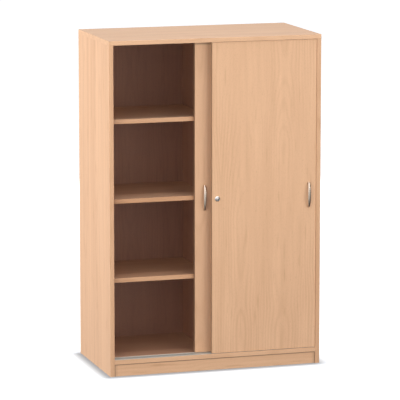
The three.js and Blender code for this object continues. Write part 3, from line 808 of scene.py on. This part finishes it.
# Push lock
lock = {
    "flangeThickness": 1.5 * mm,
    "flangeLip": 1.2 * mm,
    "flangeRim": 0.45 * mm,
    "lipRound": 0.5 * mm,
    "rimRound": 0.25 * mm,
    "seatRound": 0.1 * mm,
    "barrelRadius": 9.0 * mm,
    "barrelRound": 0.4 * mm,
    "boreRadius": 7.0 * mm,
    "boreRound": 0.35 * mm,
    "boltRadius": 4.0 * mm,
    "boltRound": 1.0 * mm,
    "boltHoleRound": 0.2 * mm,
    "boltClearance": 0.3 * mm,
    "rearWall": 2.75 * mm,
    "travel": 12.0 * mm,
    "plungerRadius": 6.6 * mm,
    "buttonEdge": 1.3 * mm,
    "shoulderRound": 0.3 * mm,
    "plugBore": 4.7 * mm,
    "plugBoreRound": 0.2 * mm,
    "plugPocket": 9.7 * mm,
    "plugEdge": 0.3 * mm,
    "slotWidth": 1.4 * mm,
    "slotHeight": 6.0 * mm,
    "slotDepth": 6.0 * mm,
    "slotEdge": 0.15 * mm,
    "slotTurn": 1e-4,
    "slotSharp": 30,
    "sides": 96,
}


def lockHousing():
    # the outline of the flange, its bevelled rim, the barrel and the stepped bore, turned about Y
    low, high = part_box("lock_housing")
    centre = (low + high) / 2
    flange = (high.x - low.x) / 2
    face = low.y - centre.y
    back = high.y - centre.y
    seat = face + lock["flangeThickness"]
    bolt = lock["boltRadius"] + lock["boltClearance"]
    inner = back - lock["rearWall"]
    profile = roundedProfile([
        (lock["boreRadius"], inner, 0),
        (lock["boreRadius"], face, lock["boreRound"]),
        (lock["boreRadius"] + lock["flangeLip"], face, lock["lipRound"]),
        (flange, seat - lock["flangeRim"], lock["rimRound"]),
        (flange, seat, lock["seatRound"]),
        (lock["barrelRadius"], seat, 0),
        (lock["barrelRadius"], back, lock["barrelRound"]),
        (bolt, back, lock["boltHoleRound"]),
        (bolt, inner, 0),
    ])
    grid = turnedGrid(profile, lock["sides"], centre, "y")
    makePiece("lock_flange", grid, finishes["brightNickel"], "front_door",
              "lock_housing", wrapRows=True)


def lockPlunger():
    # the outline of the plug's pocket, the rounded button and the bolt, turned about Y
    low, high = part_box("lock_plunger")
    centre = (low + high) / 2
    face = low.y - centre.y
    tip = high.y - centre.y
    pocket = face + lock["plugPocket"]
    shoulder = tip - (lock["rearWall"] + lock["travel"] + lock["boltClearance"])
    profile = roundedProfile([
        (lock["plugBore"] * poleShare, pocket, 0),
        (lock["plugBore"], pocket, 0),
        (lock["plugBore"], face, lock["plugBoreRound"]),
        (lock["plungerRadius"], face, lock["buttonEdge"]),
        (lock["plungerRadius"], shoulder, lock["shoulderRound"]),
        (lock["boltRadius"], shoulder, 0),
        (lock["boltRadius"], tip, lock["boltRound"]),
        (lock["boltRadius"] * poleShare, tip, 0),
    ])
    grid = turnedGrid(profile, lock["sides"], centre, "y")
    makePiece("lock_button", grid, finishes["brightNickel"], "lock_plunger",
              "lock_plunger")


def lockPlug():
    # rings that change from the key slot's outline to the plug's circle; the slot's outline lies
    # where each ray through a point of the unit circle leaves a rectangle, and the small turn keeps
    # the rays off the axes, where that would divide by nothing
    low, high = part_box("lock_plug")
    centre = (low + high) / 2
    radius = (high.x - low.x) / 2
    face = low.y
    slotFloor = face + lock["slotDepth"]
    circle = unitCircle(lock["sides"], lock["slotTurn"])
    half = np.array([lock["slotWidth"] / 2, lock["slotHeight"] / 2])
    slot = circle * np.min(half / np.abs(circle), axis=1)[:, None]
    rings = [
        (slot * poleShare, slotFloor),
        (slot, slotFloor),
        (slot, face + lock["slotEdge"]),
        (slot + circle * lock["slotEdge"], face),
        *edgeRings(circle, radius, lock["plugEdge"], face, 1),
        (circle * radius, high.y),
        (circle * radius * poleShare, high.y),
    ]
    makePiece("lock_core", stackedGrid(rings, centre), finishes["steel"], "lock_plug",
              "lock_plug", sharp=lock["slotSharp"])


lockHousing()
lockPlunger()
lockPlug()
print("push lock")


# Handle screws, seen on the doors' backs
screw = {
    "shaftRadius": 2.0 * mm,
    "headHeight": 2.4 * mm,
    "edge": 0.6 * mm,
    "crossWidth": 0.9 * mm,
    "crossReach": 2.4 * mm,
    "crossDepth": 1.5 * mm,
    "crossFloorShare": 0.7,
    "sides": 64,
    "sharp": 30,
}


def handleScrew(node, door):
    # rings from a cross recess in the head's face, round the head and down the shaft; the cross's
    # outline lies where each ray through a point of the unit circle leaves the nearer arm, at the
    # arm's end or at its side
    low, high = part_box(node)
    centre = (low + high) / 2
    head = (high.x - low.x) / 2
    circle = unitCircle(screw["sides"], math.pi / screw["sides"])
    big = np.max(np.abs(circle), axis=1)
    small = np.min(np.abs(circle), axis=1)
    arm = np.minimum(screw["crossReach"] / big, screw["crossWidth"] / small)
    cross = circle * arm[:, None]
    face = high.y
    crossFloor = face - screw["crossDepth"]
    neck = face - screw["headHeight"]
    rings = [
        (cross * poleShare, crossFloor),
        (cross * screw["crossFloorShare"], crossFloor),
        (cross, face),
        *edgeRings(circle, head, screw["edge"], face, -1),
        (circle * head, neck),
        (circle * screw["shaftRadius"], neck),
        (circle * screw["shaftRadius"], low.y),
        (circle * screw["shaftRadius"] * poleShare, low.y),
    ]
    name = node.replace("handle_screw", "screw")
    makePiece(name, stackedGrid(rings, centre), finishes["steel"], door, node,
              sharp=screw["sharp"])


for doorName in ("rear_door", "front_door"):
    for level in ("lower", "upper"):
        handleScrew(doorName + "_handle_screw_" + level, doorName)
print("handle screws")


# Shelf pins
pin = {
    "radius": 2.5 * mm,
    "shaftLength": 7.75 * mm,
    "shaftRound": 0.4 * mm,
    "collarThickness": 0.8 * mm,
    "collarBackRound": 0.15 * mm,
    "collarFaceRound": 0.35 * mm,
    "pegFootRound": 0.1 * mm,
    "tipRound": 0.8 * mm,
    "sides": 40,
}


def shelfPin(node):
    # turned about X: shaft in the board, a thin collar against it, and a round ended peg
    low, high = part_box(node)
    centre = (low + high) / 2
    collar = (high.y - low.y) / 2
    towards = 1 if node.endswith("_a") else -1
    start = low.x if towards > 0 else high.x
    length = high.x - low.x
    collarFace = pin["shaftLength"] + pin["collarThickness"]
    profile = roundedProfile([
        (pin["radius"] * poleShare, 0, 0),
        (pin["radius"], 0, pin["shaftRound"]),
        (pin["radius"], pin["shaftLength"], 0),
        (collar, pin["shaftLength"], pin["collarBackRound"]),
        (collar, collarFace, pin["collarFaceRound"]),
        (pin["radius"], collarFace, pin["pegFootRound"]),
        (pin["radius"], length, pin["tipRound"]),
        (pin["radius"] * poleShare, length, 0),
    ])
    profile = profile * np.array([1, towards])
    grid = turnedGrid(profile, pin["sides"], (start, centre.y, centre.z), "x")
    name = node.replace("shelf_pin", "pin")
    makePiece(name, grid, finishes["steel"], "carcass", node)


pinNodes = sorted(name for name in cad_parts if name.startswith("shelf_pin"))
for pinNode in pinNodes:
    shelfPin(pinNode)
print("shelf pins", len(pinNodes))


# Rollers
roller = {
    "bore": 2.8 * mm,
    "boreRound": 0.1 * mm,
    "hubRadius": 4.4 * mm,
    "hubWidth": 0.6 * mm,
    "hubRound": 0.2 * mm,
    "webDepth": 0.7 * mm,
    "webInner": 5.2 * mm,
    "webOuter": 8.6 * mm,
    "webSlope": 0.4 * mm,
    "webRound": 0.2 * mm,
    "rimInnerRound": 0.15 * mm,
    "rimRound": 0.3 * mm,
    "grooveDepth": 1.2 * mm,
    "grooveFloor": 1.0 * mm,
    "grooveMouth": 2.2 * mm,
    "mouthRound": 0.2 * mm,
    "grooveRound": 0.3 * mm,
    "cornerSteps": 4,
    "sides": 96,
}


def doorRoller(node):
    # a grooved wheel turned about Y, with a shallow dish in each side
    low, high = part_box(node)
    centre = (low + high) / 2
    outer = (high.z - low.z) / 2
    half = (high.y - low.y) / 2
    rim = half - roller["hubWidth"]
    dish = rim - roller["webDepth"]
    oneSide = [
        (roller["bore"], half, roller["boreRound"]),
        (roller["hubRadius"], half, roller["hubRound"]),
        (roller["webInner"], dish, roller["webRound"]),
        (roller["webOuter"], dish, roller["webRound"]),
        (roller["webOuter"] + roller["webSlope"], rim, roller["rimInnerRound"]),
        (outer, rim, roller["rimRound"]),
        (outer, roller["grooveMouth"], roller["mouthRound"]),
        (outer - roller["grooveDepth"], roller["grooveFloor"], roller["grooveRound"]),
    ]
    otherSide = [(radius, -place, corner) for radius, place, corner in reversed(oneSide)]
    profile = roundedProfile(oneSide + otherSide, roller["cornerSteps"])
    grid = turnedGrid(profile, roller["sides"], centre, "y")
    name = node.replace("_door_roller", "_wheel")
    body = node.replace("_door", "")
    makePiece(name, grid, finishes["whitePlastic"], body, node, wrapRows=True)


rollerNodes = sorted(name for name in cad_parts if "_roller_" in name)
for rollerNode in rollerNodes:
    doorRoller(rollerNode)
print("rollers", len(rollerNodes))


# Lower track
track = {
    "base": 1.6 * mm,
    "beadRadius": 1.8 * mm,
    "margin": 8.5 * mm,
    "edge": 0.35 * mm,
    "beadFillet": 0.4 * mm,
    "beadSteps": 25,
    "sharp": 30,
}


def lowerTrack():
    # an extruded strip along X; its outline has a half round bead over each door's middle
    low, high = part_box("bottom_track")
    surface = low.z + track["base"]
    side = surface - track["edge"]
    foot = track["beadRadius"] + track["beadFillet"]
    turn = np.linspace(math.pi, 0, track["beadSteps"])
    bead = track["beadRadius"] * np.stack([np.cos(turn), np.sin(turn)], axis=-1)
    outline = [(low.y, low.z), (low.y, side), (low.y + track["edge"], surface)]
    for middle in (low.y + track["margin"], high.y - track["margin"]):
        outline += [(middle - foot, surface), *(bead + (middle, surface)), (middle + foot, surface)]
    outline += [(high.y - track["edge"], surface), (high.y, side), (high.y, low.z)]
    grid = np.empty((2, len(outline), 3))
    grid[:, :, 0] = [[low.x], [high.x]]
    grid[:, :, 1:] = outline
    makePiece("lower_track", grid, finishes["aluminium"], "carcass",
              "bottom_track", sharp=track["sharp"])


lowerTrack()
print("lower track")
